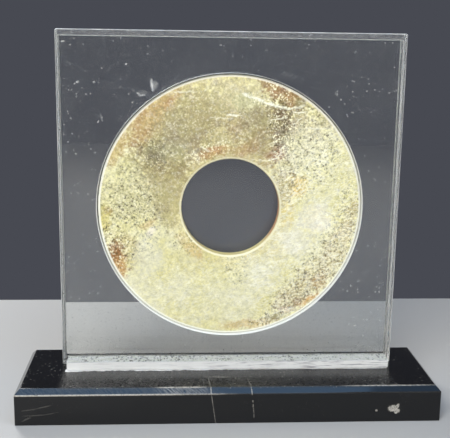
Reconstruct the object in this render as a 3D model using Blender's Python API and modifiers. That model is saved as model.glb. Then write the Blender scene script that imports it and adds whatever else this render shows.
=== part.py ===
"""Jade bi disc held upright in a clear acrylic slab on a black acrylic base.

The disc leans on nothing but its own rim: it stands in a round opening cut through the front
plate, a back plate closes that opening behind it, and a low clear bar is glued along the foot
of the front plate. All of it stands on a black base with chamfered top edges.
Metres, +Z up. The front looks along -Y. The origin is the middle of the base's underside.
"""

import math

import bmesh
import bpy
from mathutils import Vector

# Black base
BASE_WIDTH = 0.311
BASE_DEPTH = 0.086
BASE_HEIGHT = 0.027
BASE_CHAMFER = 0.004
BASE_EDGE_ROUND = 0.0004

# Clear foot bar, glued to the base along the foot of the front plate
BAR_LENGTH = 0.2465
BAR_DEPTH = 0.0127
BAR_HEIGHT = 0.0064
BAR_SETBACK = 0.037
BAR_EDGE_ROUND = 0.0003

# Clear front plate with the round opening for the disc
FRONT_WIDTH = 0.2555
FRONT_HEIGHT = 0.253
FRONT_THICKNESS = 0.0127
FRONT_CORNER_RADIUS = 0.0015
FRONT_CORNER_STEPS = 3
OPENING_DIAMETER = 0.200
OPENING_HEIGHT = 0.123
OPENING_SIDES = 144

# Clear back plate, a little smaller than the front plate
BACK_INSET_SIDE = 0.0005
BACK_INSET_TOP = 0.0043
BACK_THICKNESS = 0.0127
PLATE_EDGE_BEVEL = 0.0006

# Jade disc, with the play that it has in the opening
DISC_PLAY = 0.0012
DISC_DIAMETER = OPENING_DIAMETER - DISC_PLAY
DISC_HOLE_DIAMETER = 0.074
DISC_THICKNESS = 0.010
DISC_EDGE_RADIUS = 0.0012
DISC_EDGE_STEPS = 3
DISC_SIDES = 120
# The disc has settled to the lower right of its opening: degrees round from straight down
DISC_LEAN_DEG = 30.0

# The slab and its bar are glued a little to the right of the base's middle
CASE_X = 0.001

# Clearance between pieces that touch or are glued
CLEARANCE = 0.0003

# Vertices closer than this are one vertex, and heights closer than this are one height
MERGE_DISTANCE = 0.00005
LEVEL_TOLERANCE = 0.000001

# Colours
BLACK = (0.006, 0.006, 0.008)
CLEAR = (0.97, 0.98, 0.97)
FROSTED = (0.95, 0.95, 0.93)
JADE = (0.50, 0.46, 0.19)
ACRYLIC_INDEX = 1.49

# Places that follow from the sizes
BASE_FRONT_Y = -BASE_DEPTH / 2
FOOT_Z = BASE_HEIGHT + CLEARANCE
BAR_FRONT_Y = BASE_FRONT_Y + BAR_SETBACK
FRONT_PLATE_Y = BAR_FRONT_Y + BAR_DEPTH + CLEARANCE
BACK_PLATE_Y = FRONT_PLATE_Y + FRONT_THICKNESS + CLEARANCE
BACK_WIDTH = FRONT_WIDTH - 2 * BACK_INSET_SIDE
BACK_HEIGHT = FRONT_HEIGHT - BACK_INSET_TOP
OPENING_Z = FOOT_Z + OPENING_HEIGHT
# How far the disc's centre lies from the opening's centre, with its rim on the opening's wall
DISC_DROP = DISC_PLAY / 2 - CLEARANCE
DISC_X = CASE_X + DISC_DROP * math.sin(math.radians(DISC_LEAN_DEG))
DISC_Z = OPENING_Z - DISC_DROP * math.cos(math.radians(DISC_LEAN_DEG))
DISC_BACK_Y = BACK_PLATE_Y - CLEARANCE


def clear_scene():
    """Start from an empty scene."""
    for obj in list(bpy.data.objects):
        bpy.data.objects.remove(obj, do_unlink=True)


def new_collection(name):
    """A collection linked to the scene."""
    collection = bpy.data.collections.new(name)
    bpy.context.scene.collection.children.link(collection)
    return collection


def plain_material(name, colour, roughness):
    """An opaque, non-metallic material."""
    material = bpy.data.materials.new(name)
    material.use_nodes = True
    shader = material.node_tree.nodes["Principled BSDF"]
    shader.inputs["Base Color"].default_value = (*colour, 1.0)
    shader.inputs["Roughness"].default_value = roughness
    shader.inputs["Metallic"].default_value = 0.0
    material.diffuse_color = (*colour, 1.0)
    return material


def clear_material(name, colour, roughness, index):
    """A see-through material with a refractive index."""
    material = plain_material(name, colour, roughness)
    shader = material.node_tree.nodes["Principled BSDF"]
    shader.inputs["Transmission Weight"].default_value = 1.0
    shader.inputs["IOR"].default_value = index
    material.diffuse_color = (*colour, 0.3)
    return material


def add_mesh_object(name, mesh, collection, material):
    """An object made from a finished mesh, with one material."""
    mesh.materials.append(material)
    obj = bpy.data.objects.new(name, mesh)
    collection.objects.link(obj)
    return obj


def box_mesh(name, size):
    """A block of the given size, standing on z = 0 with its front face at y = 0."""
    mesh = bpy.data.meshes.new(name)
    shape = bmesh.new()
    bmesh.ops.create_cube(shape, size=1.0)
    bmesh.ops.scale(shape, vec=Vector(size), verts=shape.verts)
    bmesh.ops.translate(shape, vec=(0.0, size[1] / 2, size[2] / 2), verts=shape.verts)
    shape.to_mesh(mesh)
    shape.free()
    return mesh


def bevel_edges(mesh, chosen, width, segments):
    """Bevel the edges of a mesh that the test chosen(edge) picks out."""
    shape = bmesh.new()
    shape.from_mesh(mesh)
    edges = [edge for edge in shape.edges if chosen(edge)]
    bmesh.ops.bevel(
        shape,
        geom=edges,
        offset=width,
        offset_type="OFFSET",
        segments=segments,
        profile=0.5,
        affect="EDGES",
    )
    shape.to_mesh(mesh)
    shape.free()


def is_level_at(edge, height):
    """True for an edge that lies at the given height."""
    return all(abs(vert.co.z - height) < LEVEL_TOLERANCE for vert in edge.verts)


def is_top_corner(edge, height):
    """True for an edge that runs front to back at the given height."""
    ends = [vert.co for vert in edge.verts]
    runs_back = abs(ends[0].y - ends[1].y) > LEVEL_TOLERANCE
    return runs_back and is_level_at(edge, height)


def soften_edges(obj, width, segments):
    """Take the sharpness off every hard edge of a block."""
    bevel = obj.modifiers.new("softened edges", "BEVEL")
    bevel.width = width
    bevel.segments = segments
    bevel.limit_method = "ANGLE"
    bevel.angle_limit = math.radians(30)


def make_base(collection):
    """Black acrylic block with a chamfer round its top."""
    mesh = box_mesh("black_base", (BASE_WIDTH, BASE_DEPTH, BASE_HEIGHT))
    bevel_edges(mesh, lambda edge: is_level_at(edge, BASE_HEIGHT), BASE_CHAMFER, 1)
    material = plain_material("black_acrylic", BLACK, 0.08)
    base = add_mesh_object("black_base", mesh, collection, material)
    base.location = (0.0, BASE_FRONT_Y, 0.0)
    soften_edges(base, BASE_EDGE_ROUND, 2)
    return base


def make_foot_bar(collection, material):
    """Low clear bar along the foot of the front plate."""
    mesh = box_mesh("clear_foot_bar", (BAR_LENGTH, BAR_DEPTH, BAR_HEIGHT))
    bar = add_mesh_object("clear_foot_bar", mesh, collection, material)
    bar.location = (CASE_X, BAR_FRONT_Y, FOOT_Z)
    soften_edges(bar, BAR_EDGE_ROUND, 1)
    return bar


def make_opening_cutter(collection):
    """Cylinder that cuts the round opening through the front plate."""
    mesh = bpy.data.meshes.new("opening_cutter")
    shape = bmesh.new()
    bmesh.ops.create_cone(
        shape,
        cap_ends=True,
        segments=OPENING_SIDES,
        radius1=OPENING_DIAMETER / 2,
        radius2=OPENING_DIAMETER / 2,
        depth=2 * FRONT_THICKNESS,
    )
    shape.to_mesh(mesh)
    shape.free()
    cutter = bpy.data.objects.new("opening_cutter", mesh)
    collection.objects.link(cutter)
    cutter.location = (CASE_X, FRONT_PLATE_Y + FRONT_THICKNESS / 2, OPENING_Z)
    cutter.rotation_euler = (math.radians(90), 0.0, 0.0)
    cutter.hide_render = True
    cutter.display_type = "WIRE"
    return cutter


def make_front_plate(collection, cutters, material):
    """Clear plate with rounded top corners and the round opening for the disc."""
    mesh = box_mesh("clear_front_plate", (FRONT_WIDTH, FRONT_THICKNESS, FRONT_HEIGHT))
    bevel_edges(
        mesh,
        lambda edge: is_top_corner(edge, FRONT_HEIGHT),
        FRONT_CORNER_RADIUS,
        FRONT_CORNER_STEPS,
    )
    plate = add_mesh_object("clear_front_plate", mesh, collection, material)
    plate.location = (CASE_X, FRONT_PLATE_Y, FOOT_Z)
    cut = plate.modifiers.new("round opening", "BOOLEAN")
    cut.operation = "DIFFERENCE"
    cut.solver = "EXACT"
    cut.object = make_opening_cutter(cutters)
    soften_edges(plate, PLATE_EDGE_BEVEL, 1)
    return plate


def make_back_plate(collection, material):
    """Clear plate that closes the opening behind the disc."""
    mesh = box_mesh("clear_back_plate", (BACK_WIDTH, BACK_THICKNESS, BACK_HEIGHT))
    plate = add_mesh_object("clear_back_plate", mesh, collection, material)
    plate.location = (CASE_X, BACK_PLATE_Y, FOOT_Z)
    soften_edges(plate, PLATE_EDGE_BEVEL, 1)
    return plate


def disc_profile():
    """The ring's section as (radius, height) points, from its top down the outer side and round."""
    inner = DISC_HOLE_DIAMETER / 2
    outer = DISC_DIAMETER / 2
    low = -DISC_THICKNESS / 2
    high = DISC_THICKNESS / 2
    r = DISC_EDGE_RADIUS
    # centre of each rounded corner, and the direction in which its arc starts
    corners = (
        (outer - r, high - r, 90),
        (outer - r, low + r, 0),
        (inner + r, low + r, -90),
        (inner + r, high - r, -180),
    )
    points = []
    for across, up, start in corners:
        for step in range(DISC_EDGE_STEPS + 1):
            angle = math.radians(start - 90 * step / DISC_EDGE_STEPS)
            points.append((across + r * math.cos(angle), up + r * math.sin(angle)))
    return points


def make_disc(collection):
    """Flat jade ring with rounded edges, turned from its section."""
    points = [(across, 0.0, up) for across, up in disc_profile()]
    edges = [(index, (index + 1) % len(points)) for index in range(len(points))]
    mesh = bpy.data.meshes.new("jade_disc")
    mesh.from_pydata(points, edges, [])
    material = plain_material("jade", JADE, 0.35)
    disc = add_mesh_object("jade_disc", mesh, collection, material)
    turn = disc.modifiers.new("turned", "SCREW")
    turn.axis = "Z"
    turn.steps = DISC_SIDES
    turn.render_steps = DISC_SIDES
    turn.use_merge_vertices = True
    turn.merge_threshold = MERGE_DISTANCE
    turn.use_smooth_shade = True
    disc.rotation_euler = (math.radians(90), 0.0, 0.0)
    disc.location = (DISC_X, DISC_BACK_Y - DISC_THICKNESS / 2, DISC_Z)
    return disc


def main():
    """Build the whole object."""
    clear_scene()
    pieces = new_collection("jade_bi_disc_on_stand")
    cutters = new_collection("cutters")
    acrylic = clear_material("clear_acrylic", CLEAR, 0.02, ACRYLIC_INDEX)
    frosted = clear_material("frosted_acrylic", FROSTED, 0.35, ACRYLIC_INDEX)
    make_base(pieces)
    make_foot_bar(pieces, frosted)
    make_front_plate(pieces, cutters, acrylic)
    make_back_plate(pieces, acrylic)
    make_disc(pieces)


main()
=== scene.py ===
"""Looks of a jade bi disc that stands in a clear acrylic slab on a black acrylic base.

Metres, +Z up, the front looks along -Y. Patterns are laid out in millimetres from the middle
or the foot of the piece that they belong to.
"""

import math

import bpy
import numpy as np
from mathutils import Matrix, Vector


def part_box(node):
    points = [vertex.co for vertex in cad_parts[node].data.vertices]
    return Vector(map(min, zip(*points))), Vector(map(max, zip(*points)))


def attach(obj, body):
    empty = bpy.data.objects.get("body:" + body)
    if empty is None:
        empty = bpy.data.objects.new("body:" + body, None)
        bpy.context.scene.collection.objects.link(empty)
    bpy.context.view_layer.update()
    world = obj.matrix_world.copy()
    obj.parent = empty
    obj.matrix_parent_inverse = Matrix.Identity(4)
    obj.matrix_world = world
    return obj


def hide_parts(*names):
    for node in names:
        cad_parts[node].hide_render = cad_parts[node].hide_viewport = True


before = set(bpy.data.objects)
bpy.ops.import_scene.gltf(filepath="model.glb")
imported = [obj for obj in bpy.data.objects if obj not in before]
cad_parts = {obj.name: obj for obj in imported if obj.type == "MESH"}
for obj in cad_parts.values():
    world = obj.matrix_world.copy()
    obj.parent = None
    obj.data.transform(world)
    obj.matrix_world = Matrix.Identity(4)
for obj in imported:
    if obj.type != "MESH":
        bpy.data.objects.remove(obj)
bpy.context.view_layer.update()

MM = 0.001

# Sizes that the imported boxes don't give, in metres
OPENING_RADIUS = 0.100
OPENING_HEIGHT = 0.123
OPENING_CHAMFER = 0.0003
PLATE_BEVEL = 0.0006
FRONT_TOP_CORNER = 0.0015
BACK_TOP_CORNER = 0.0006
PLATE_FOOT_CORNER = 0.0004
BAR_CORNER = 0.0003
BAR_ROUND = 0.0003
BASE_CORNER = 0.0006
BASE_CHAMFER = 0.004
BASE_ROUND = 0.0004
HOLE_RADIUS = 0.037
RIM_ROUND = 0.0012
RIM_FALL = 0.0003
RIM_FALL_WIDTH = 0.0030
WAVE_HEIGHT = 0.00012

ACRYLIC_INDEX = 1.49
JADE_INDEX = 1.61

# A pattern on a flat face doesn't change with depth: its depth is divided by this
FLAT = 10000.0
# A height in millimetres that no piece reaches
NOWHERE = 10000.0


def tone(red, green, blue):
    """A colour given as it looks on a screen, from 0 to 255, turned into light."""
    shares = np.array((red, green, blue)) / 255.0
    light = np.where(shares <= 0.04045, shares / 12.92, ((shares + 0.055) / 1.055) ** 2.4)
    return tuple(float(value) for value in light)


# ---------------- materials


class Value:
    """A socket of a material, with arithmetic that adds the Math nodes."""

    def __init__(self, shade, socket):
        self.shade = shade
        self.socket = socket

    def math(self, operation, *others):
        """This value put through a Math node with the others."""
        inputs = {index: value for index, value in enumerate((self, *others))}
        return self.shade.node("Math", {"operation": operation}, inputs)

    def __add__(self, other):
        return self.math("ADD", other)

    __radd__ = __add__

    def __mul__(self, other):
        return self.math("MULTIPLY", other)

    def __sub__(self, other):
        return self.math("SUBTRACT", other)

    def __rsub__(self, other):
        return (self * -1.0) + other

    def size(self):
        """The value without its sign."""
        return self.math("ABSOLUTE")

    def most(self, other):
        """The greater of two values."""
        return self.math("MAXIMUM", other)

    def least(self, other):
        """The smaller of two values."""
        return self.math("MINIMUM", other)

    def rise(self, start, end):
        """0 up to start, 1 from end on, with a smooth slope; falling if end is below start."""
        inputs = {
            "Value": self,
            "From Min": min(start, end),
            "From Max": max(start, end),
            "To Min": float(end < start),
            "To Max": float(end > start),
        }
        return self.shade.node("MapRange", {"interpolation_type": "SMOOTHSTEP"}, inputs)


def greater(first, second):
    """The greater of two values, or the second where there is no first yet."""
    return second if first is None else first.most(second)


class Shade:
    """One material: makes its nodes, patterns and colours."""

    def __init__(self, name):
        self.material = bpy.data.materials.new(name)
        self.material.use_nodes = True
        self.tree = self.material.node_tree
        self.shader = self.tree.nodes["Principled BSDF"]

    def put(self, socket, value):
        """Link a value to a socket, or write a plain number or colour into it."""
        if isinstance(value, Value):
            self.tree.links.new(value.socket, socket)
        elif isinstance(value, tuple) and socket.type == "RGBA":
            socket.default_value = (*value, 1.0)
        else:
            socket.default_value = value

    def node(self, kind, settings=None, inputs=None, output=0):
        """Add a node with its settings and its sockets' values, and return its output."""
        node = self.tree.nodes.new("ShaderNode" + kind)
        for key, value in (settings or {}).items():
            setattr(node, key, value)
        for key, value in (inputs or {}).items():
            self.put(node.inputs[key], value)
        return Value(self, node.outputs[output])

    def finish(self, **sockets):
        """Write the Principled shader's sockets, with _ for a blank in their names."""
        for name, value in sockets.items():
            self.put(self.shader.inputs[name.replace("_", " ")], value)
        return self.material

    def clear(self, colour, roughness):
        """Make the shader clear acrylic."""
        self.finish(Base_Color=colour, Roughness=roughness)
        self.finish(IOR=ACRYLIC_INDEX, Transmission_Weight=1.0)

    def cover(self, share, **sockets):
        """Lay a second Principled shader over the first, which it hides where share is 1."""
        inputs = {name.replace("_", " "): value for name, value in sockets.items()}
        film = self.node("BsdfPrincipled", None, inputs)
        below = Value(self, self.shader.outputs[0])
        mixed = self.node("MixShader", None, {0: share, 1: below, 2: film})
        self.put(self.tree.nodes["Material Output"].inputs["Surface"], mixed)
        return self.material

    def place(self, centre):
        """The point on the surface, in millimetres from the given centre."""
        point = self.node("TexCoord", output="Object")
        inputs = {
            "Vector": point,
            "Location": tuple(-value / MM for value in centre),
            "Scale": (1 / MM,) * 3,
        }
        return self.node("Mapping", {"vector_type": "POINT"}, inputs)

    def parts(self, point):
        """The three numbers of a point."""
        node = self.tree.nodes.new("ShaderNodeSeparateXYZ")
        self.put(node.inputs[0], point)
        return tuple(Value(self, socket) for socket in node.outputs)

    def noise(self, point, scale, detail=3.0, roughness=0.55, output=0):
        """Cloudy noise, features about 1 / scale mm across."""
        inputs = {"Vector": point, "Scale": scale, "Detail": detail, "Roughness": roughness}
        return self.node("TexNoise", {"noise_dimensions": "3D"}, inputs, output)

    def cells(self, point, scale, output="Distance"):
        """Dots about 1 / scale mm apart: how far the nearest is, or a colour of its own."""
        settings = {"voronoi_dimensions": "3D", "feature": "F1"}
        return self.node("TexVoronoi", settings, {"Vector": point, "Scale": scale}, output)

    def vector(self, operation, *values, output=0):
        """A Vector Math node on points."""
        inputs = {index: value for index, value in enumerate(values)}
        return self.node("VectorMath", {"operation": operation}, inputs, output)

    def warp(self, point, scale, reach, detail=2.0):
        """The point moved about by noise, by up to half of reach millimetres."""
        cloud = self.noise(point, scale, detail, output="Color")
        middle = self.vector("SUBTRACT", cloud, (0.5,) * 3)
        return self.vector("MULTIPLY_ADD", middle, (reach,) * 3, point)

    def turned(self, point, centre, turn, stretch):
        """The point seen from centre (x, z), on axes turned by degrees, in units of stretch."""
        inputs = {
            "Vector": point,
            "Location": (centre[0], 0.0, centre[1]),
            "Rotation": (0.0, -math.radians(turn), 0.0),
            "Scale": (stretch[0], FLAT, stretch[1]),
        }
        return self.node("Mapping", {"vector_type": "TEXTURE"}, inputs)

    def spot(self, point, centre, radii, turn=0.0, soft=0.6, ragged=None):
        """1 in an oval of given half sizes, fading to 0 at its edge, which ragged moves."""
        away = self.vector("LENGTH", self.turned(point, centre, turn, radii), output="Value")
        if ragged is not None:
            away = away + ragged
        return away.rise(1.0 + soft / 2, 1.0 - soft / 2)

    def stroke(self, point, start, end, width, soft=0.8, ragged=None):
        """A thin oval from start to end (x, z), a little longer, because its tips fade."""
        run, climb = end[0] - start[0], end[1] - start[1]
        middle = ((start[0] + end[0]) / 2, (start[1] + end[1]) / 2)
        half = math.hypot(run, climb) / 2 * 1.15
        turn = math.degrees(math.atan2(climb, run))
        return self.spot(point, middle, (half, width / 2), turn, soft, ragged)

    def mix(self, share, first, second):
        """A colour between first, where share is 0, and second, where it is 1."""
        settings = {"data_type": "RGBA", "blend_type": "MIX", "clamp_factor": True}
        # by number, as the node's sockets for numbers and colours have the same names
        return self.node("Mix", settings, {0: share, 6: first, 7: second}, output=2)

    def scaled(self, colour, factor):
        """A colour made lighter or darker."""
        return self.node("VectorMath", {"operation": "SCALE"}, {0: colour, "Scale": factor})

    def bump(self, height, reach):
        """A normal from a height of 0 to 1, which stands for reach metres."""
        return self.node("Bump", None, {"Height": height, "Distance": reach, "Strength": 1.0})


# Coloured zones of the jade, in mm from its middle: centre x and z, half sizes, turn in
# degrees, colour, strength
JADE_ZONES = (
    # the darker upper half, and the olive band round the hole's upper left
    ((-14, 56), (74, 40), 0, (190, 173, 129), 0.85),
    ((-50, 18), (20, 26), 0, (166, 150, 108), 0.8),
    ((-38, 54), (42, 17), 38, (158, 142, 103), 0.85),
    ((-57, 69), (26, 10), 50, (188, 146, 93), 0.75),
    ((-45, 82), (8, 3), 28, (180, 139, 95), 0.6),
    ((-84, 44), (13, 6), 62, (201, 169, 100), 0.65),
    ((-56, 42), (8, 9), 0, (125, 116, 91), 0.75),
    ((-42, 44), (11, 8), 10, (180, 174, 134), 0.7),
    ((-40, 26), (9, 9), 0, (144, 125, 84), 0.5),
    ((-26, 41), (5, 4), 0, (188, 174, 148), 0.5),
    ((-12, 41.5), (13, 3.5), 15, (188, 134, 84), 0.8),
    ((-28, 74), (24, 10), 15, (184, 170, 122), 0.7),
    ((-46, 2), (10, 16), 0, (176, 164, 118), 0.75),
    ((-44, 60), (12, 14), -40, (164, 152, 116), 0.6),
    # pale and speckled on the left
    ((-77, 8), (20, 18), 0, (208, 201, 155), 0.85),
    ((-78, 27), (10, 8), 20, (219, 214, 167), 0.5),
    ((-94, -9), (5, 11), 0, (213, 197, 105), 0.75),
    ((-92, -2), (3, 3), 0, (161, 130, 72), 0.6),
    ((-80, -34), (12, 15), 20, (198, 178, 114), 0.6),
    ((-87.5, -35), (6.5, 8.5), 24, (153, 99, 46), 0.95),
    ((-83, -46), (6, 8), 24, (198, 145, 77), 0.85),
    ((-62, -12), (7, 3.5), 20, (200, 166, 109), 0.55),
    ((-60.6, -18.7), (3.6, 2.6), 30, (246, 237, 219), 0.9),
    ((-33, -24), (5, 8), 42, (210, 183, 132), 0.6),
    ((-27, -33), (7, 5), -42, (206, 160, 103), 0.8),
    # cloud, red brown and dark brown at the top right
    ((8, 84), (28, 11), -12, (215, 204, 158), 0.8),
    ((12, 78), (12, 7), -20, (198, 199, 153), 0.5),
    ((33, 88), (12, 6), -28, (156, 107, 68), 0.9),
    ((45, 82), (10, 6), -36, (150, 103, 53), 0.85),
    ((51, 78), (5, 4), -30, (118, 105, 75), 0.75),
    ((24, 58), (17, 15), 0, (150, 129, 93), 0.8),
    ((20, 66), (10, 7), 0, (142, 136, 103), 0.6),
    ((6, 59), (9, 7), 0, (160, 129, 93), 0.55),
    ((13, 45), (11, 5), 15, (171, 123, 75), 0.65),
    ((37, 58), (9, 21), 4, (106, 79, 46), 0.95),
    ((33, 41), (8, 6), 0, (152, 92, 50), 0.9),
    ((26, 50), (6, 7), 0, (162, 147, 94), 0.8),
    ((25, 33), (9, 2.5), -25, (160, 121, 73), 0.6),
    ((50, 64), (7, 12), -20, (167, 145, 105), 0.65),
    ((18, 64), (13, 12), 0, (168, 154, 114), 0.75),
    # pale and speckled on the right
    ((60, 44), (18, 20), 0, (224, 217, 179), 0.75),
    ((42, 32), (6, 4), 0, (176, 164, 108), 0.6),
    ((37.5, 21), (4, 7), -20, (178, 158, 118), 0.75),
    ((49, 16), (10, 7), 0, (236, 203, 106), 0.75),
    ((42, -4), (6, 12), 0, (226, 203, 133), 0.5),
    ((64, -8), (13, 10), 0, (244, 236, 217), 0.65),
    ((46, -25), (16, 10), 10, (242, 238, 218), 0.65),
    ((20, -46), (15, 9), -15, (240, 238, 213), 0.5),
    ((-62, -38), (11, 13), 0, (238, 236, 217), 0.55),
    ((-14, -52), (26, 11), 0, (234, 227, 162), 0.45),
    ((74, 28), (17, 18), -20, (228, 222, 168), 0.6),
    ((88, 22), (8, 26), 22, (224, 216, 154), 0.7),
    ((64, 63), (9, 9), -40, (198, 186, 146), 0.6),
    ((40, 12), (6, 13), -15, (184, 168, 124), 0.85),
    ((36, -34), (9, 9), 0, (234, 224, 166), 0.6),
    ((-32, -42), (13, 9), -40, (224, 214, 148), 0.6),
    # the brownish, speckled band inside the lower right rim
    ((92, -6), (5, 11), -8, (177, 153, 99), 0.75),
    ((82, -30), (9, 20), -18, (198, 178, 132), 0.65),
    ((67, -52), (10, 20), -36, (188, 169, 121), 0.7),
    ((49, -71), (9, 17), -54, (182, 158, 113), 0.75),
    ((70, -58), (6, 6), 0, (180, 138, 77), 0.8),
    ((54, -76), (8, 4), 36, (163, 127, 81), 0.85),
    ((63, -73), (9, 3), 40, (215, 158, 70), 0.85),
    ((33, -87), (8, 4), 18, (139, 123, 81), 0.85),
    ((42, -81), (5, 2.6), 0, (226, 201, 176), 0.8),
    ((14, -92), (20, 4), 6, (211, 180, 113), 0.7),
)

# Where the jade is broken up: centre x and z, half sizes, turn in degrees, share of cream
# grains, share of dark grains
JADE_GRAINS = (
    ((38, 58), (11, 26), 4, 1.0, 0.9),
    ((36, 88), (14, 7), -28, 0.8, 0.3),
    ((54, 66), (12, 14), -30, 0.7, 0.6),
    ((62, 42), (18, 22), 0, 0.4, 0.65),
    ((46, 28), (14, 12), 0, 0.5, 0.5),
    ((50, 14), (12, 9), 0, 0.5, 0.4),
    ((-40, 58), (58, 28), 40, 0.24, 0.12),
    ((8, 60), (26, 18), 0, 0.26, 0.12),
    ((-16, 43), (20, 7), 20, 0.8, 0.1),
    ((-74, 6), (22, 22), 0, 0.42, 0.75),
    ((-58, 40), (14, 14), 0, 0.4, 0.5),
    ((-86, -30), (12, 18), 22, 0.7, 0.9),
    ((-70, -22), (16, 12), 0, 0.3, 0.5),
    ((-34, -26), (8, 10), 42, 0.4, 0.4),
    ((84, -22), (12, 24), -18, 0.55, 0.6),
    ((68, -50), (14, 24), -36, 0.6, 0.65),
    ((48, -72), (12, 20), -54, 0.6, 0.7),
    ((30, -87), (12, 5), 18, 0.8, 0.9),
    ((4, -48), (8, 12), 0, 0.2, 0.4),
    ((31, 78), (22, 5), -15, 1.0, 0.4),
    ((90, 0), (7, 22), 0, 0.4, 0.4),
)

# Pale fissures of the jade: start and end x and z, width, strength
FISSURES = (
    ((8, 85.5), (15, 82.6), 3.2, 0.9),
    ((14, 83.2), (24, 79.6), 2.6, 0.95),
    ((22, 80.2), (33, 76.4), 2.4, 0.95),
    ((31, 77), (44, 74.6), 2.0, 0.9),
    ((42, 74.6), (53, 76.9), 1.7, 0.8),
    ((44, 75), (47, 68), 1.2, 0.6),
    ((-2.5, 69.5), (6.5, 69.8), 1.9, 0.95),
    ((-15, 67.4), (0, 67.2), 1.2, 0.5),
    ((46, 72), (54, 72.3), 1.6, 0.9),
    ((45.5, 63.5), (52.5, 68.4), 1.4, 0.8),
    ((53, 60.3), (70, 60.6), 1.4, 0.7),
    ((17, 36.6), (27, 35.8), 1.2, 0.8),
    ((26, 35.7), (35.5, 38.2), 1.3, 0.9),
    ((35, 38), (39.5, 48), 1.3, 0.8),
    ((30, 66.5), (39, 68), 1.2, 0.8),
    ((59, 38.5), (76, 34.5), 1.0, 0.6),
    ((39, 27), (50, 29.5), 1.1, 0.6),
    ((58, 48), (80, 54), 1.2, 0.35),
    ((60, 36), (84, 46), 1.2, 0.35),
    ((34, -20), (48, -19.2), 1.4, 0.8),
    ((31, -24), (40, -25), 1.2, 0.7),
    ((44, -12), (58, -9), 1.4, 0.4),
    ((77, -38), (84, -36.5), 1.4, 0.9),
    ((80, -44), (88, -43), 1.2, 0.7),
    ((26, -52), (38, -50.6), 1.4, 0.7),
    ((9, -59.5), (26, -62), 1.3, 0.5),
    ((8, -71), (21, -74.5), 1.3, 0.5),
    ((22, -65), (34, -68), 1.2, 0.4),
    ((36, -83), (50, -79), 1.2, 0.7),
    ((40, -86), (54, -80), 1.2, 0.6),
    ((-47, 86), (-28, 86.4), 1.6, 0.55),
    ((-22, 46), (-17, 43), 1.8, 0.7),
    ((-60, -52), (-42, -56), 1.2, 0.25),
)


def broken_up(shade, point, ragged):
    """Shares of cream grains and of dark grains in the stone."""
    cream_share = dark_share = None
    for place, radii, turn, cream, dark in JADE_GRAINS:
        zone = shade.spot(point, place, radii, turn, 0.9, ragged)
        cream_share = greater(cream_share, zone * cream)
        dark_share = greater(dark_share, zone * dark)
    return cream_share, dark_share


def fissured(shade, point, crumbled):
    """Share of the pale fissures, which are stronger and weaker along their way."""
    drift = shade.warp(point, 0.22, 4.0, 3.0)
    narrowed = 0.78  # crumbled edges make the fissures look wider than they are drawn
    crack = None
    for start, end, width, share in FISSURES:
        line = shade.stroke(drift, start, end, width * narrowed, 0.8, crumbled)
        crack = greater(crack, line * share)
    return crack * (shade.noise(point, 0.7, 2.0).rise(0.38, 0.54) * 0.5 + 0.5)


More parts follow.
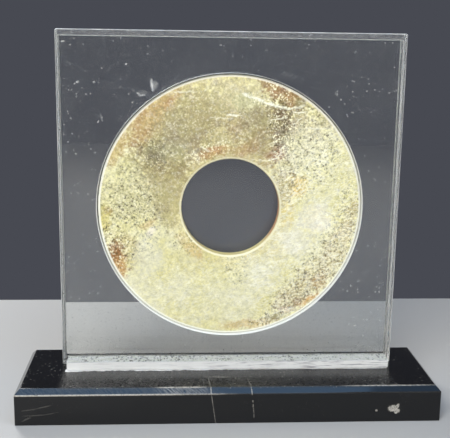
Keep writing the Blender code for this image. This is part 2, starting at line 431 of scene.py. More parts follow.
def mottled_jade(centre):
    """Polished jade: soft zones of colour with ragged edges, under wisps, cream and dark
    grains and pale fissures. The rim is painted lighter, a painted highlight, and the hole
    has lighter edges."""
    shade = Shade("mottled_jade")
    point = shade.place(centre)
    loose = shade.warp(shade.warp(point, 0.05, 9.0), 0.16, 6.0, 3.0)
    across, deep, up = shade.parts(point)
    radius = (across * across + up * up).math("SQRT")
    mottle = shade.noise(point, 0.20, 5.0, 0.65)
    fine = shade.noise(point, 0.45, 3.0, 0.7)
    grain = shade.noise(shade.warp(point, 0.6, 1.0), 0.72, 2.0, 0.55)
    ragged = (mottle - 0.5) * 1.5 + (fine - 0.5) * 0.9 + (grain - 0.5) * 0.8

    clouds = shade.noise(loose, 0.035, 3.0).rise(0.36, 0.64)
    colour = shade.mix(clouds, tone(236, 231, 190), tone(229, 221, 156))
    # later zones lie on a point that is moved once more: a shader that has to hold all of them
    # at the same time is too large for the renderer
    looser = shade.warp(loose, 0.5, 1.2)
    for index, (place, radii, turn, stain, share) in enumerate(JADE_ZONES):
        ground = loose if index < len(JADE_ZONES) // 2 else looser
        mask = shade.spot(ground, place, radii, turn, 0.8, ragged)
        colour = shade.mix(mask * share, colour, tone(*stain))
    veil = shade.spot(shade.warp(point, 0.2, 4.0), (23, 49), (13, 13), 20, 0.15, ragged * 0.25)
    colour = shade.mix(veil * 0.45, colour, tone(158, 134, 90))
    near_hole = radius.rise(54.0, 40.0) * (up.rise(16.0, -12.0) * 0.32 + 0.12)
    colour = shade.mix(near_hole, colour, tone(222, 206, 134))

    # whitish wisps, drawn out along the grain of the stone on the right and below
    run = shade.turned(loose, (0, 0), 20, (9.0, 1.3))
    wisp = (shade.noise(run, 1.0, 4.0, 0.6) - 0.5).size().rise(0.055, 0.0)
    wispy = shade.spot(loose, (56, -16), (52, 84), -25, 0.9).most(
        shade.spot(loose, (-10, -66), (70, 26), 0, 0.8) * 0.7
    )
    colour = shade.mix(wisp * wispy * 0.9, colour, tone(255, 253, 233))

    # mottling at three sizes, and a drift between yellower and greyer stone
    green = shade.noise(shade.warp(point, 0.1, 6.0), 0.11, 4.0, 0.6).rise(0.35, 0.65)
    colour = shade.mix(green * 0.25, colour, tone(216, 210, 134))
    tint = shade.noise(point, 0.5, 2.0).rise(0.52, 0.66)
    colour = shade.mix(tint * 0.22, colour, tone(248, 244, 228))
    coarse = mottle.rise(0.30, 0.70) - 0.5
    grit = fine.rise(0.28, 0.72) - 0.5
    sand = grain.rise(0.30, 0.70) - 0.5
    cream_share, dark_share = broken_up(shade, loose, ragged * 0.5)
    busy = cream_share.most(dark_share)
    shift = coarse * 0.24 + grit * (busy * 0.22 + 0.16) + sand * (busy * 0.22 + 0.08)
    colour = shade.scaled(colour, shift + 1.0)

    # cream grains and dark grains, where the same noise peaks and dips
    cluster = (coarse + grit * 0.7).rise(-0.45, 0.30)
    dips = grain.rise(0.46, 0.35) * (1.15 - cluster)
    peaks = grain.rise(0.53, 0.63) * (cluster + 0.15)
    colour = shade.mix(dips * (dark_share * 1.15 + 0.05), colour, tone(88, 80, 46))
    colour = shade.mix(peaks * (cream_share * 1.10 + 0.03), colour, tone(255, 249, 212))

    # single cream pinpoints and dark pits
    pins = shade.cells(shade.warp(point, 1.2, 1.2), 0.44).rise(0.34, 0.22)
    picked = shade.parts(shade.cells(point, 0.3, "Color"))
    pin_share = pins * picked[0].rise(0.35, 0.60) * (cream_share * 0.9 + 0.16).least(1.0)
    colour = shade.mix(pin_share, colour, tone(255, 251, 220))
    pits = shade.cells(shade.warp(point, 0.8, 1.2), 0.62).rise(0.30, 0.16)
    pit_share = pits * picked[1].rise(0.35, 0.6) * (dark_share * 0.75 + 0.15)
    colour = shade.mix(pit_share, colour, tone(94, 88, 50))

    crack = fissured(shade, point, (fine - 0.5) * 1.8 + (grain - 0.5) * 1.6)
    colour = shade.mix(crack, colour, tone(255, 252, 228))

    # rim painted lighter as a highlight, lighter edges of the hole, and the hole's wall, orange
    # at its right
    hole = HOLE_RADIUS / MM
    # painted highlight: the rim's colour is made lighter, also against the shade on its
    # rounding
    rim = radius.rise(97.0, 98.3)
    colour = shade.mix(rim * 0.92, colour, tone(255, 254, 240))
    wall = radius.rise(hole + 0.9, hole + 0.3)
    warm = (across + mottle * 8.0).rise(28.0, 38.0) * (deep.rise(-3.6, -2.0))
    wall_colour = shade.mix(warm, tone(226, 208, 138), tone(210, 142, 76))
    colour = shade.mix(wall * 0.85, colour, wall_colour)
    edge = radius.rise(hole + 1.9, hole + 1.1) * deep.rise(-3.0, -4.2)
    edge = edge.most(wall * deep.rise(3.4, 4.4))
    colour = shade.mix(edge * 0.7, colour, tone(255, 248, 212))

    gloss = grit * 0.10 + crack * 0.2 + cream_share * 0.06 + 0.34
    relief = grit * 0.4 + sand * 0.5 - crack * 0.6 - pits * 0.3
    return shade.finish(
        Base_Color=colour,
        Roughness=gloss,
        Normal=shade.bump(relief, 0.06 * MM),
        IOR=JADE_INDEX,
    )


# Marks on the slab's front, in mm from the middle of its foot: centre x and z, half sizes,
# turn in degrees, strength
SLAB_MARKS = (
    ((-58.6, 241.0), (0.9, 4.0), 8, 0.52),
    ((-57.2, 240.6), (1.9, 2.6), 20, 0.26),
    ((-55.4, 242.4), (1.6, 0.9), -30, 0.26),
    ((-68.4, 234.6), (1.7, 0.5), -30, 0.40),
    ((-66.2, 233.4), (2.4, 0.4), 10, 0.42),
    ((-65.0, 235.0), (2.6, 1.6), 0, 0.16),
    ((-72.0, 236.6), (0.5, 1.0), 0, 0.24),
    ((-50.0, 239.6), (1.8, 0.3), 14, 0.20),
    ((-95.6, 217.5), (0.45, 2.2), 12, 0.24),
    ((-83.0, 216.0), (0.4, 1.2), -20, 0.12),
    ((-77.2, 255.9), (0.6, 0.6), 0, 0.60),
    ((-112.4, 242.7), (0.7, 0.65), 0, 0.65),
    ((-100.6, 242.8), (0.55, 0.5), 0, 0.55),
    ((-122.5, 271.4), (0.8, 0.6), 0, 0.55),
    ((-98.0, 214.0), (0.55, 0.5), 0, 0.50),
    ((37.0, 250.5), (0.22, 2.6), -50, 0.24),
    ((40.0, 250.0), (0.22, 3.0), -50, 0.22),
    ((43.0, 249.0), (0.22, 2.8), -48, 0.24),
    ((46.0, 247.6), (0.22, 2.4), -46, 0.20),
    ((77.5, 236.0), (0.5, 1.1), 10, 0.34),
    ((105.0, 100.0), (0.4, 3.4), -52, 0.16),
    ((101.0, 93.5), (2.6, 0.3), 14, 0.22),
    ((-15.0, 243.0), (0.25, 4.0), 6, 0.10),
    ((14.2, 253.0), (0.25, 5.0), 2, 0.10),
    ((11.0, 48.0), (0.35, 2.2), 4, 0.32),
    ((-102.0, 92.0), (1.6, 0.4), 8, 0.24),
)


def clear_acrylic(name, centre, marks, dust, lit_strip_above):
    """Clear acrylic with dust, a trace of haze, hairlines and the given marks, and a lighter
    strip of painted light above the given height in mm."""
    shade = Shade(name)
    point = shade.place(centre)
    picked = shade.parts(shade.cells(point, 0.36, "Color"))
    specks = shade.cells(point, 0.36).rise(0.24, 0.14) * picked[0].rise(0.22, 0.95)
    patchy = shade.noise(point, 0.03, 3.0).rise(0.36, 0.64) * 0.6 + 0.4
    powder = shade.noise(point, 0.9, 3.0, 0.8).rise(0.50, 0.70)
    hair = shade.turned(shade.warp(point, 0.02, 20.0), (0, 0), 55, (60.0, 0.8))
    hairs = (shade.noise(hair, 1.0, 1.0) - 0.5).size().rise(0.012, 0.0)
    hairs = hairs * shade.noise(point, 0.03, 1.0).rise(0.56, 0.7)
    mask = (specks * 0.46 + powder * 0.09) * patchy * dust + hairs * 0.16 + 0.010
    streaks = shade.noise(shade.turned(point, (0, 0), 80, (1.6, 0.5)), 1.0, 4.0, 0.75)
    ragged = (streaks - 0.5) * 4.2
    for place, radii, turn, share in marks:
        mask = mask.most(shade.spot(point, place, radii, turn, 1.4, ragged) * share)
    # painted light: a lighter, streaky strip along the slab's top, above the given height
    strip = shade.parts(point)[2].rise(lit_strip_above - 0.2, lit_strip_above + 0.2)
    mask = mask.most(strip * (shade.noise(point, 0.4, 3.0, 0.7) - 0.34) * 0.7)
    shade.clear(tone(252, 253, 252), 0.0)
    return shade.cover(
        mask.least(1.0),
        Base_Color=tone(226, 226, 222),
        Roughness=0.8,
        Specular_IOR_Level=0.2,
    )


def milled_acrylic(name, centre, whiteness, roughness, streaks=0.0):
    """Sawn or filed acrylic edge: it scatters light by its whiteness, with nicks, cleaner
    stretches and, where asked for, grey streaks along it."""
    shade = Shade(name)
    point = shade.place(centre)
    nicks = shade.noise(point, 0.9, 4.0, 0.7)
    slow_change = shade.noise(point, 0.06, 2.0).rise(0.35, 0.65)
    long_noise = shade.noise(shade.turned(point, (0, 0), 0, (16.0, 0.8)), 0.9, 3.0, 0.6)
    line = long_noise.rise(0.50, 0.64) * (shade.parts(point)[0].rise(-60.0, 60.0) * 0.8 + 0.2)
    shade.clear(tone(250, 251, 250), roughness)
    shade.finish(Normal=shade.bump(nicks, 0.15 * MM))
    share = (nicks - 0.5) * 1.2 + slow_change * 0.2 + whiteness
    return shade.cover(
        share.rise(0.0, 1.0),
        Base_Color=shade.mix(line * streaks, tone(246, 246, 242), tone(150, 146, 152)),
        Roughness=0.6,
        Specular_IOR_Level=0.4,
    )


def laid(shade, point):
    """The point with its depth and its height exchanged, for patterns on level faces."""
    across, deep, up = shade.parts(point)
    return shade.node("CombineXYZ", None, {"X": across, "Y": up, "Z": deep})


def bubbles(shade, point):
    """Share of open bubbles in a film of dried cement, most of them left of the bar's middle,
    and the noise that they follow."""
    flow = shade.noise(shade.turned(point, (0, 0), 0, (7.0, 2.0)), 0.5, 4.0, 0.6)
    crowd = (shade.parts(point)[0] + 58.0).size().rise(44.0, 16.0) * 0.14
    crowd = crowd + shade.noise(point, 0.035, 1.0) * 0.12
    cells = shade.cells(shade.warp(shade.turned(point, (0, 0), 0, (1.3, 2.8)), 0.7, 0.8), 0.75)
    return cells.rise(0.50, 0.24) * (flow + crowd).rise(0.50, 0.64), flow


def glued_acrylic(centre):
    """Underside of the foot bar: white dried cement with clear and dark bubbles in it."""
    shade = Shade("cemented_acrylic")
    point = laid(shade, shade.place(centre))
    open_share, flow = bubbles(shade, point)
    colour = shade.mix(open_share, tone(244, 242, 232), tone(58, 56, 54))
    colour = shade.scaled(colour, 1.0 + (shade.noise(point, 1.2, 3.0, 0.7) - 0.5) * 0.5)
    return shade.finish(Base_Color=colour, Roughness=0.5, Normal=shade.bump(flow, 0.2 * MM))


def bubbled_acrylic(centre):
    """Top of the foot bar: cream smears of cement with clear bubbles, and clean gaps."""
    shade = Shade("bubbled_acrylic_top")
    point = laid(shade, shade.place(centre))
    open_share, flow = bubbles(shade, point)
    smear = shade.noise(shade.turned(point, (0, 0), 4, (4.0, 2.6)), 0.7, 4.0, 0.65)
    colour = shade.mix(smear.rise(0.4, 0.62), tone(252, 251, 244), tone(200, 202, 186))
    rings = smear.rise(0.50, 0.47) * smear.rise(0.44, 0.47)
    colour = shade.mix(rings * 0.5 + open_share * 0.55, colour, tone(96, 94, 90))
    shade.clear(tone(240, 242, 236), 0.08)
    share = (smear - 0.5) * 1.6 + 0.86 - open_share * 0.5
    return shade.cover(
        share.rise(0.0, 1.0),
        Base_Color=colour,
        Roughness=0.45,
        Normal=shade.bump(flow, 0.2 * MM),
    )


# Scratches and scuffs on the base's front, in mm from the middle of its foot: start and end x
# and z, width, strength
FRONT_MARKS = (
    ((-14.4, 26.6), (-13.9, 22.4), 0.9, 0.50),
    ((-13.9, 22.0), (-12.6, 13.0), 0.6, 0.26),
    ((-12.7, 14.0), (-10.8, 1.0), 0.6, 0.20),
    ((15.2, 26.6), (15.6, 22.6), 0.8, 0.42),
    ((16.2, 17.8), (16.3, 16.2), 0.7, 0.30),
    ((16.4, 14.9), (16.6, 12.5), 0.7, 0.30),
    ((16.8, 11.4), (17.1, 8.4), 0.7, 0.30),
    ((17.2, 7.2), (17.3, 4.4), 0.6, 0.24),
    ((-149, 11.5), (-139, 13.0), 0.8, 0.07),
    ((-139.5, 13.0), (-131, 15.0), 0.8, 0.09),
    ((-147, 7.5), (-134, 8.2), 0.8, 0.07),
    ((-134.5, 8.2), (-126, 9.8), 0.7, 0.07),
    ((-149, 4.0), (-144, 6.4), 1.4, 0.08),
)

# Scratches on the base's top: start and end x and y, width, strength
LEDGE_MARKS = (
    ((-15.6, -22), (-14.6, -39.5), 0.7, 0.26),
    ((13.8, -26), (15.2, -39.5), 0.7, 0.24),
    ((-14.5, -20.8), (-1.0, -21.2), 1.0, 0.46),
    ((-1.0, -21.2), (14.0, -21.6), 1.0, 0.08),
)

# Dried blob on the base's front: centre x and z, half sizes, turn in degrees
BLOB_LOBES = (
    ((119.6, 10.4), (3.3, 2.5), 10),
    ((122.6, 8.4), (2.1, 2.3), -30),
    ((123.3, 12.2), (1.1, 1.7), -20),
    ((117.8, 10.6), (1.5, 1.5), 0),
)


def dried_blob(shade, point, sharp):
    """Share of the pale blob, which is thick in its furrows, and of the dot beside it."""
    blob = None
    for place, radii, turn in BLOB_LOBES:
        blob = greater(blob, shade.spot(point, place, radii, turn, 0.25, (sharp - 0.5) * 1.8))
    fold = shade.noise(shade.turned(point, (120, 10), 62, (1.6, 0.5)), 0.6, 2.0)
    furrow = (fold - 0.5).size().rise(0.0, 0.06)
    dot = shade.spot(point, (107.6, 8.8), (0.9, 0.8), 0, 0.5, (sharp - 0.5) * 1.6)
    return (blob * (furrow * 0.62 + 0.22)).most(dot * 0.45)


def run_out_cement(shade, point, across, deep):
    """Share of the cement that has run out from under the bar, most of it at the left."""
    low, _, _, size = box_sizes("clear_foot_bar") / MM
    reach = across.rise(40.0, -120.0) * 1.7 + 0.4
    run_out = ((shade.noise(point, 0.09, 4.0, 0.6) - 0.40) * 5.0).most(0.0) * reach
    before_bar = (deep + run_out - (low[1] - 0.2)).rise(-0.2, 0.2) * deep.rise(-2.0, -5.0)
    return before_bar * across.size().rise(size[0] / 2 + 0.35, size[0] / 2 - 0.45)


def black_acrylic():
    """High gloss black acrylic with dust and lint, painted highlights, glints and sheen along
    the chamfer over faint wear, two long pale scratches, a dried blob at the right and smears
    of cement along the foot of the bar."""
    shade = Shade("polished_black_acrylic")
    point = shade.place((0.0, 0.0, 0.0))
    lying = laid(shade, point)
    across, deep, up = shade.parts(point)
    low, high, _, _ = box_sizes("black_base") / MM
    chamfer = BASE_CHAMFER / MM
    top, shoulder = high[2], low[1] + chamfer
    on_top = up.rise(top - 1.4, top - 0.4)
    front = deep.rise(shoulder + 1.0, shoulder - 0.5)
    cloud = shade.noise(point, 0.04, 3.0)
    fine = shade.noise(point, 0.5, 4.0, 0.7)
    sharp = shade.noise(point, 1.1, 4.0, 0.7)
    ragged = (sharp - 0.5) * 4.0

    # dust, thick on the ledge in front of the slab
    ledge = on_top * deep.rise(-4.0, -8.0) * across.size().rise(127.0, 121.0)
    leftward = across.rise(120.0, -80.0)
    dust = shade.cells(point, 0.35).rise(0.16, 0.06)
    lint = shade.cells(shade.warp(point, 0.5, 2.0), 0.30).rise(0.22, 0.10)
    grey = fine.rise(0.25, 0.80) * 0.6 + sharp.rise(0.25, 0.80) * 0.4
    mask = dust * cloud.rise(0.35, 0.7) * (on_top * 0.30 + 0.05)
    mask = mask.most(grey * (ledge * (leftward * 0.055 + 0.020) + on_top * 0.010))
    mask = mask.most(lint * on_top * (ledge * 0.24 + 0.16) * cloud.rise(0.36, 0.56))
    patch = shade.spot(lying, (-72, -31), (5.0, 3.0), 0, 0.9, ragged * 0.4)
    mask = mask.most(patch * sharp.rise(0.45, 0.7) * on_top * 0.34)

    # edges of the chamfer: faint wear along them, under painted highlights and glints that are
    # strongest at the left, and a painted sheen on the chamfer
    # painted highlight along the lower edge of the chamfer, strongest at the left, over faint
    # wear
    low_edge = (up - (top - chamfer - 0.1)).size().rise(0.75, 0.25) * front
    slow_change = (across + cloud * 60.0).rise(40.0, -10.0)
    mask = mask.most(low_edge * (slow_change * 0.75 + 0.04) * sharp.rise(0.30, 0.55))
    # painted glints along the upper edge of the chamfer, over faint wear
    high_edge = (deep - shoulder).size().rise(0.7, 0.2) * on_top
    warm_run = (across + 36.0).size().rise(22.0, 10.0)
    right_run = (across - 118.0).size().rise(42.0, 14.0)
    glint = warm_run * 0.80 + right_run * 0.60 + 0.06
    mask = mask.most(high_edge * glint * sharp.rise(0.34, 0.54))
    # painted sheen and streaks of light on the chamfer at the left
    slope = (up - (top - chamfer / 2)).size().rise(2.2, 1.8)
    slope = slope * deep.rise(shoulder + 0.2, shoulder - 0.4)
    sheen_streaks = shade.noise(shade.turned(point, (0, 0), -35, (5.0, 0.7)), 0.8, 3.0, 0.7)
    chamfer_sheen = (across + 34.0).size().rise(24.0, 8.0) * 0.26 + slow_change * 0.05
    mask = mask.most(slope * chamfer_sheen * sheen_streaks.rise(0.35, 0.65))

    # scratches and scuffs; two of the scratches go on over the top
    for start, end, width, share in FRONT_MARKS:
        line = shade.stroke(point, start, end, width, 0.9, ragged)
        mask = mask.most(line * front * share)
    for start, end, width, share in LEDGE_MARKS:
        line = shade.stroke(lying, start, end, width, 0.9, ragged)
        mask = mask.most(line * on_top * share)

    mask = mask.most(dried_blob(shade, point, sharp) * front)
    cement = run_out_cement(shade, point, across, deep) * on_top
    # the pale colour of the mask carries dust, lint, scratches and the painted highlights,
    # glints and sheen of the chamfer
    colour = shade.mix(mask, tone(8, 8, 10), tone(212, 206, 194))
    colour = shade.mix(cement * 0.95, colour, tone(246, 244, 240))
    smear = shade.noise(point, 0.02, 4.0).rise(0.4, 0.7)
    rough = smear * 0.05 + mask * 0.6 + ledge * (grey * 0.22 + 0.10) + cement * 0.5 + 0.05
    return shade.finish(
        Base_Color=colour,
        Roughness=rough.least(1.0),
        Normal=shade.bump(mask + cement, 0.05 * MM),
        Specular_IOR_Level=0.5,
    )


# ---------------- shapes


def add_piece(name, points, quads, fans, materials, numbers, smooth):
    """Make a piece from points, four-sided faces and three-sided ones, with a material number
    for each. Faces are turned outwards by the sign of the volume that they close."""
    volume = 0.0
    for triangles in (quads[:, (0, 1, 2)], quads[:, (0, 2, 3)], fans):
        first, second, third = (points[triangles[:, index]] for index in range(3))
        volume += np.einsum("ij,ij->i", first, np.cross(second, third)).sum()
    if volume < 0:
        quads = quads[:, ::-1]
        fans = fans[:, ::-1]
    mesh = bpy.data.meshes.new(name)
    mesh.from_pydata(points.tolist(), [], quads.tolist() + fans.tolist())
    for material in materials:
        mesh.materials.append(material)
    mesh.polygons.foreach_set("material_index", np.asarray(numbers, dtype=np.int32))
    mesh.polygons.foreach_set("use_smooth", np.full(len(mesh.polygons), smooth))
    mesh.update()
    obj = bpy.data.objects.new(name, mesh)
    bpy.context.scene.collection.objects.link(obj)
    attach(obj, "root")
    return obj


def loft(name, rows, closed, slots, materials, smooth=False):
    """A surface through closed rows with the same number of points. A closed loft joins its
    last row to its first, an open one is capped by fans to the middle of its end rows. slots
    gives the material number of each strip between rows, then of the two caps."""
    count, around = len(rows), len(rows[0])
    points = np.concatenate(rows)
    row = np.arange(count if closed else count - 1)[:, None] * around
    after = (row + around) % (count * around)
    column = np.arange(around)[None, :]
    beside = (column + 1) % around
    corners = [row + column, row + beside, after + beside, after + column]
    quads = np.stack(corners, axis=-1).reshape(-1, 4)
    fans = np.zeros((0, 3), dtype=int)
    if not closed:
        middles = np.stack([rows[0].mean(axis=0), rows[-1].mean(axis=0)])
        first, last = len(points), len(points) + 1
        points = np.concatenate([points, middles])
        begin, onward = column[0], beside[0]
        final = (count - 1) * around
        fans = np.concatenate(
            [
                np.stack([onward, begin, np.full(around, first)], axis=-1),
                np.stack([final + begin, final + onward, np.full(around, last)], axis=-1),
            ]
        )
    return add_piece(name, points, quads, fans, materials, np.repeat(slots, around), smooth)


def outline(width, height, inset, radii, steps, sides):
    """A rectangle about (0, 0), drawn in by inset: each corner is a quarter circle in steps,
    each side is cut into equal lengths. Anticlockwise from the lower right."""
    half = np.array((width / 2 - inset, height / 2 - inset))
    turn = np.linspace(0.0, math.pi / 2, steps + 1)
    arcs = []
    for index, (right, top) in enumerate(((1, -1), (1, 1), (-1, 1), (-1, -1))):
        radius = max(radii[index] - inset, radii[index] * 0.2)
        centre = np.array((right, top)) * (half - radius)
        angle = turn + (index - 1) * math.pi / 2
        arcs.append(centre + radius * np.stack([np.cos(angle), np.sin(angle)], axis=-1))
    pieces = []
    for index in range(4):
        start, end = arcs[index][-1], arcs[(index + 1) % 4][0]
        share = (np.arange(1, sides[index]) / sides[index])[:, None]
        pieces += [arcs[index], start + (end - start) * share]
    return np.concatenate(pieces)


def upright(flat, middle, depth):
    """Points of an outline stood up at the given depth."""
    return np.stack(
        [middle[0] + flat[:, 0], np.full(len(flat), depth), middle[1] + flat[:, 1]], axis=-1
    )


def level(flat, middle, height):
    """Points of an outline laid down at the given height."""
    return np.stack(
        [middle[0] + flat[:, 0], middle[1] + flat[:, 1], np.full(len(flat), height)], axis=-1
    )


def box_sizes(node):
    """Lowest corner, highest corner, middle and size of a node, as four rows of an array."""
    low, high = (np.array(corner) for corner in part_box(node))
    return np.stack([low, high, (low + high) / 2, high - low])


def make_front_plate(materials):
    """Plate with a round opening: closed rows run from the opening's front edge out over the
    face, the bevels and side walls, back over the rear face and through the opening."""
    low, high, middle, size = box_sizes("clear_front_plate")
    centre = np.array((middle[0], low[2] + OPENING_HEIGHT))
    radii = (PLATE_FOOT_CORNER, FRONT_TOP_CORNER, FRONT_TOP_CORNER, PLATE_FOOT_CORNER)

    def edge(inset, depth):
        flat = outline(size[0], size[2], inset, radii, 5, (150,) * 4)
        return upright(flat, (middle[0], middle[2]), depth)

    away = edge(0.0, 0.0)[:, [0, 2]] - centre
    angle = np.arctan2(away[:, 1], away[:, 0])

    def circle(radius, depth):
        flat = radius * np.stack([np.cos(angle), np.sin(angle)], axis=-1)
        return upright(flat, centre, depth)

    def between(first, second):
        return [first + (second - first) * share for share in (0.25, 0.5, 0.75)]

    front, back = low[1], high[1]
    lip_front = circle(OPENING_RADIUS + OPENING_CHAMFER, front)
    lip_back = circle(OPENING_RADIUS + OPENING_CHAMFER, back)
    face_front = edge(PLATE_BEVEL, front)
    face_back = edge(PLATE_BEVEL, back)
    rows = [lip_front, *between(lip_front, face_front), face_front]
    rows += [edge(0.0, front + PLATE_BEVEL), edge(0.0, back - PLATE_BEVEL)]
    rows += [face_back, *between(face_back, lip_back), lip_back]
    rows += [circle(OPENING_RADIUS, back - OPENING_CHAMFER)]
    rows += [circle(OPENING_RADIUS, front + OPENING_CHAMFER)]
    face, bevel, wall, bore, lip = 0, 1, 2, 3, 4
    slots = [face] * 4 + [bevel, wall, bevel] + [face] * 4 + [bevel, bore, lip]
    plate = loft("front_plate", rows, True, slots, materials)
    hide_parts("clear_front_plate")


def make_back_plate(materials):
    """Plain plate: rows run from the front face over bevels and walls to the rear face."""
    low, high, middle, size = box_sizes("clear_back_plate")
    radii = (PLATE_FOOT_CORNER, BACK_TOP_CORNER, BACK_TOP_CORNER, PLATE_FOOT_CORNER)
    rows = []
    for inset, depth in (
        (PLATE_BEVEL, low[1]),
        (0.0, low[1] + PLATE_BEVEL),
        (0.0, high[1] - PLATE_BEVEL),
        (PLATE_BEVEL, high[1]),
    ):
        flat = outline(size[0], size[2], inset, radii, 3, (6,) * 4)
        rows.append(upright(flat, (middle[0], middle[2]), depth))
    face, bevel, wall = 0, 1, 2
    plate = loft("back_plate", rows, False, [bevel, wall, bevel, face, face], materials)
    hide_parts("clear_back_plate")


def uneven(along, seed, reach, waves):
    """A wandering line from 0 to reach: sines of the given wavelengths with seeded phases."""
    draw = np.random.default_rng(seed)
    total = np.zeros_like(along)
    for wave in waves:
        total += np.sin(along * 2 * math.pi / wave + draw.uniform(0, 2 * math.pi))
    return reach * (0.5 + 0.5 * total / len(waves))


def make_foot_bar(materials):
    """Low bar: rows run from its underside up over its sides to its top. Its front wanders in
    by up to a quarter of a millimetre, as a sawn and cemented strip does."""
    low, high, middle, size = box_sizes("clear_foot_bar")
    wavelengths = (0.061, 0.023, 0.0097, 0.0041)
    rows = []
    for inset, height, wander in (
        (BAR_ROUND, low[2], 0.0002),
        (0.0, low[2] + BAR_ROUND, 0.00025),
        (0.0, middle[2], 0.0001),
        (0.0, high[2] - BAR_ROUND, 0.0),
        (BAR_ROUND, high[2], 0.0),
    ):
        flat = outline(size[0], size[1], inset, (BAR_CORNER,) * 4, 2, (4, 240, 4, 240))
        shift = uneven(flat[:, 0], 7, wander, wavelengths)
        flat[:, 1] += np.where(flat[:, 1] < 0, shift, 0.0)
        rows.append(level(flat, middle, height))
    under, side, top, edge = 0, 1, 2, 3
    slots = [edge, side, side, edge, under, top]
    bar = loft("foot_bar", rows, False, slots, materials)
    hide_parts("clear_foot_bar")


def make_base(material):
    """Block: rows run from its underside over a rounded edge up its sides, over the chamfer,
    which has rounded edges too, and in over the top."""
    low, high, middle, size = box_sizes("black_base")
    soft = BASE_ROUND
    shoulder = high[2] - BASE_CHAMFER
    rows = []
    for inset, height in (
        (soft, low[2]),
        (soft * 0.3, low[2] + soft * 0.3),
        (0.0, low[2] + soft),
        (0.0, shoulder - soft),
        (soft * 0.2, shoulder),
        (soft, shoulder + soft),
        (BASE_CHAMFER - soft, high[2] - soft),
        (BASE_CHAMFER, high[2] - soft * 0.2),
        (BASE_CHAMFER + soft, high[2]),
    ):
        flat = outline(size[0], size[1], inset, (BASE_CORNER,) * 4, 3, (12, 40, 12, 40))
        rows.append(level(flat, middle, height))
    base = loft("base_block", rows, False, [0] * (len(rows) + 1), [material])
    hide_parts("black_base")


def make_jade_ring(material):
    """Ring turned from its section: the place along the section is one parameter, the angle
    round the ring the other. The faces swell and sink by slow waves and fall away slightly
    towards rim and hole, and small nicks bite into the front edges of both."""
    low, high, middle, size = box_sizes("jade_disc")
    outer, inner = size[0] / 2, HOLE_RADIUS
    front, back = low[1], high[1]
    bend = np.linspace(0.0, math.pi / 2, 7)
    over_face = np.linspace(0.0, 1.0, 64)[1:-1]
    over_rear = over_face[::3]
    over_wall = np.linspace(0.0, 1.0, 8)[1:-1]

    def corner(across, depth, begin):
        angle = begin + bend
        return across + RIM_ROUND * np.cos(angle), depth + RIM_ROUND * np.sin(angle)

    inward = inner + RIM_ROUND
    outward = outer - RIM_ROUND
    straight = back - front - 2 * RIM_ROUND
    parts = [
        (inward + (outward - inward) * over_face, np.full_like(over_face, front)),
        corner(outward, front + RIM_ROUND, -math.pi / 2),
        (np.full_like(over_wall, outer), front + RIM_ROUND + straight * over_wall),
        corner(outward, back - RIM_ROUND, 0.0),
        (outward + (inward - outward) * over_rear, np.full_like(over_rear, back)),
        corner(inward, back - RIM_ROUND, math.pi / 2),
        (np.full_like(over_wall, inner), back - RIM_ROUND - straight * over_wall),
        corner(inward, front + RIM_ROUND, math.pi),
    ]
    across = np.concatenate([part[0] for part in parts])[:, None]
    depth = np.concatenate([part[1] for part in parts])[:, None]
    turn = np.linspace(0.0, 2 * math.pi, 480, endpoint=False)[None, :]
    draw = np.random.default_rng(11)

    # slow waves over the faces, the longer the higher, inwards only
    flat_x, flat_z = across * np.cos(turn), across * np.sin(turn)
    wave = np.zeros_like(flat_x)
    wavelengths = (0.085, 0.052, 0.031, 0.019)
    for wavelength in wavelengths:
        heading = draw.uniform(0, 2 * math.pi)
        phase = draw.uniform(0, 2 * math.pi)
        run = flat_x * math.cos(heading) + flat_z * math.sin(heading)
        wave += np.sin(run * 2 * math.pi / wavelength + phase) * wavelength
    wave = WAVE_HEIGHT * (0.5 + 0.5 * wave / sum(wavelengths))
    toward_back = np.clip((depth - front) / (back - front), 0.0, 1.0)
    fall = np.clip((across - (outer - RIM_FALL_WIDTH)) / RIM_FALL_WIDTH, 0.0, 1.0)
    dip = np.clip((inner + RIM_FALL_WIDTH - across) / RIM_FALL_WIDTH, 0.0, 1.0)
    press = wave + RIM_FALL * (fall**2 + 0.8 * dip**2)
    depth = depth + press * (1 - 2 * toward_back)

    # nicks, each a small bell over the angle; the hole has those of the rim, turned on
    bite = np.zeros_like(turn)
    for _ in range(26):
        place = draw.uniform(0, 2 * math.pi)
        width = draw.uniform(0.004, 0.014)
        gap = np.angle(np.exp(1j * (turn - place)))
        bite = bite + draw.uniform(0.00008, 0.0003) * np.exp(-((gap / width) ** 2))
    near_front = np.clip(1.4 - toward_back * 2.2, 0.0, 1.0)
    near_rim = np.clip((across - (outer - 0.0016)) / 0.0012, 0.0, 1.0)
    near_hole = np.clip((inner + 0.0014 - across) / 0.0012, 0.0, 1.0)
    radius = across - bite * near_rim * near_front
    radius = radius + np.roll(bite, 91) * near_hole * near_front * 0.7

    rows = np.stack(
        [
            middle[0] + radius * np.cos(turn),
            np.broadcast_to(depth, radius.shape),
            middle[2] + radius * np.sin(turn),
        ],
        axis=-1,
    )
    ring = loft("jade_ring", list(rows), True, [0] * len(rows), [material], smooth=True)
    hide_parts("jade_disc")


# ---------------- setting


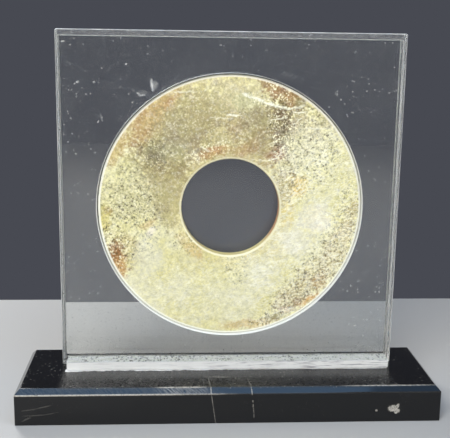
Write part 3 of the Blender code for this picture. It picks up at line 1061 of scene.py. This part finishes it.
def make_camera():
    """Camera where the photograph was taken from, found by fitting the part's edges."""
    picture_width, focal_length = 450, 854.5  # in pixels of the photograph
    yaw, pitch, roll = (math.radians(value) for value in (3.553, -11.942, 0.873))
    ahead = Vector(
        (math.sin(yaw) * math.cos(pitch), math.cos(yaw) * math.cos(pitch), math.sin(pitch))
    )
    right = Vector((math.cos(yaw), -math.sin(yaw), 0.0))
    above = right.cross(ahead)
    right, above = (
        right * math.cos(roll) + above * math.sin(roll),
        above * math.cos(roll) - right * math.sin(roll),
    )
    place = Matrix((right, above, -ahead)).transposed().to_4x4()
    place.translation = Vector((-0.04204, -0.62128, 0.27510))
    data = bpy.data.cameras.new("camera")
    data.sensor_width = 36.0
    data.lens = focal_length / picture_width * data.sensor_width
    data.clip_start = 0.01
    data.clip_end = 20.0
    camera = bpy.data.objects.new("camera", data)
    camera.matrix_world = place
    bpy.context.scene.collection.objects.link(camera)
    bpy.context.scene.camera = camera


def make_floor():
    """Plain pale floor, which ends a little way behind the part."""
    shade = Shade("pale_floor")
    material = shade.finish(Base_Color=tone(196, 194, 190), Roughness=0.6)
    side, near, far = 1.2, -1.6, 0.26
    points = [(-side, near, 0.0), (side, near, 0.0), (side, far, 0.0), (-side, far, 0.0)]
    mesh = bpy.data.meshes.new("floor")
    mesh.from_pydata(points, [], [(0, 1, 2, 3)])
    mesh.materials.append(material)
    floor = bpy.data.objects.new("floor", mesh)
    bpy.context.scene.collection.objects.link(floor)


def make_lamp(name, place, aim, width, height, power, colour=(1.0, 1.0, 1.0)):
    """A soft rectangular studio light, with its power in watts."""
    data = bpy.data.lights.new(name, "AREA")
    data.shape = "RECTANGLE"
    data.size = width
    data.size_y = height
    data.energy = power
    data.color = colour
    lamp = bpy.data.objects.new(name, data)
    lamp.location = place
    lamp.rotation_euler = (Vector(aim) - Vector(place)).to_track_quat("-Z", "Y").to_euler()
    bpy.context.scene.collection.objects.link(lamp)


def make_lights():
    """A plain dim surround and five soft lights. The two bluish ones show in the base's
    chamfer, with a dark step between them."""
    world = bpy.data.worlds.new("surround")
    bpy.context.scene.world = world
    world.use_nodes = True
    surround = world.node_tree.nodes["Background"]
    surround.inputs["Color"].default_value = (*tone(72, 74, 82), 1.0)
    surround.inputs["Strength"].default_value = 1.0
    middle = (0.0, 0.0, 0.13)
    ledge, beside = (0.0, -0.1, 0.0), (0.47, -0.1, 0.0)
    bluish = (0.36, 0.62, 1.0)
    make_lamp("key", (-0.38, -1.0, 0.95), middle, 0.6, 0.5, 13.4, (1.0, 0.965, 0.90))
    make_lamp("fill", (0.9, -0.7, 0.55), middle, 0.6, 0.6, 4.5, (1.0, 0.98, 0.96))
    make_lamp("overhead", (-0.07, -0.48, 1.05), ledge, 0.86, 0.5, 3.8, bluish)
    make_lamp("beside", (0.52, -0.48, 1.05), beside, 0.32, 0.5, 0.55, bluish)
    make_lamp("rear", (-0.5, 0.7, 0.6), middle, 0.3, 0.6, 5.0)
    bpy.context.scene.view_settings.view_transform = "Standard"


plate_low, _, plate_middle, _ = box_sizes("clear_front_plate")
foot = (plate_middle[0], plate_low[1], 0.0)
rear_foot = (plate_middle[0], 1.0, 0.0)  # another depth, so that the rear has dust of its own
disc_middle = box_sizes("jade_disc")[2]
bar_middle = box_sizes("clear_foot_bar")[2]
back_top = box_sizes("clear_back_plate")[1][2] / MM

# one filed edge finish in two copies: the front plate's and the bar's bevels are made dimmer,
# as painted shade, and the back plate's bevels lighter, as painted light
shaded_edge_acrylic = milled_acrylic("filed_edge_painted_dimmer", foot, 0.38, 0.35)
lit_edge_acrylic = milled_acrylic("filed_edge_painted_lighter", foot, 1.1, 0.35)
wall_acrylic = milled_acrylic("sawn_acrylic_side", foot, -0.35, 0.12)
bore_acrylic = milled_acrylic("frosted_opening_wall", foot, 0.95, 0.6)
lip_acrylic = milled_acrylic("filed_opening_edge", foot, 1.1, 0.5)
face_acrylic = clear_acrylic("clear_acrylic_face", foot, SLAB_MARKS, 1.0, back_top)
rear_acrylic = clear_acrylic("clear_acrylic_rear", rear_foot, (), 0.3, NOWHERE)
bar_side = milled_acrylic("frosted_bar_side", bar_middle, 1.2, 0.5, streaks=0.8)
bar_top = bubbled_acrylic(bar_middle)

make_base(black_acrylic())
make_foot_bar([glued_acrylic(bar_middle), bar_side, bar_top, shaded_edge_acrylic])
make_front_plate([face_acrylic, shaded_edge_acrylic, wall_acrylic, bore_acrylic, lip_acrylic])
make_back_plate([rear_acrylic, lit_edge_acrylic, wall_acrylic])
make_jade_ring(mottled_jade(disc_middle))
make_camera()
make_floor()
make_lights()
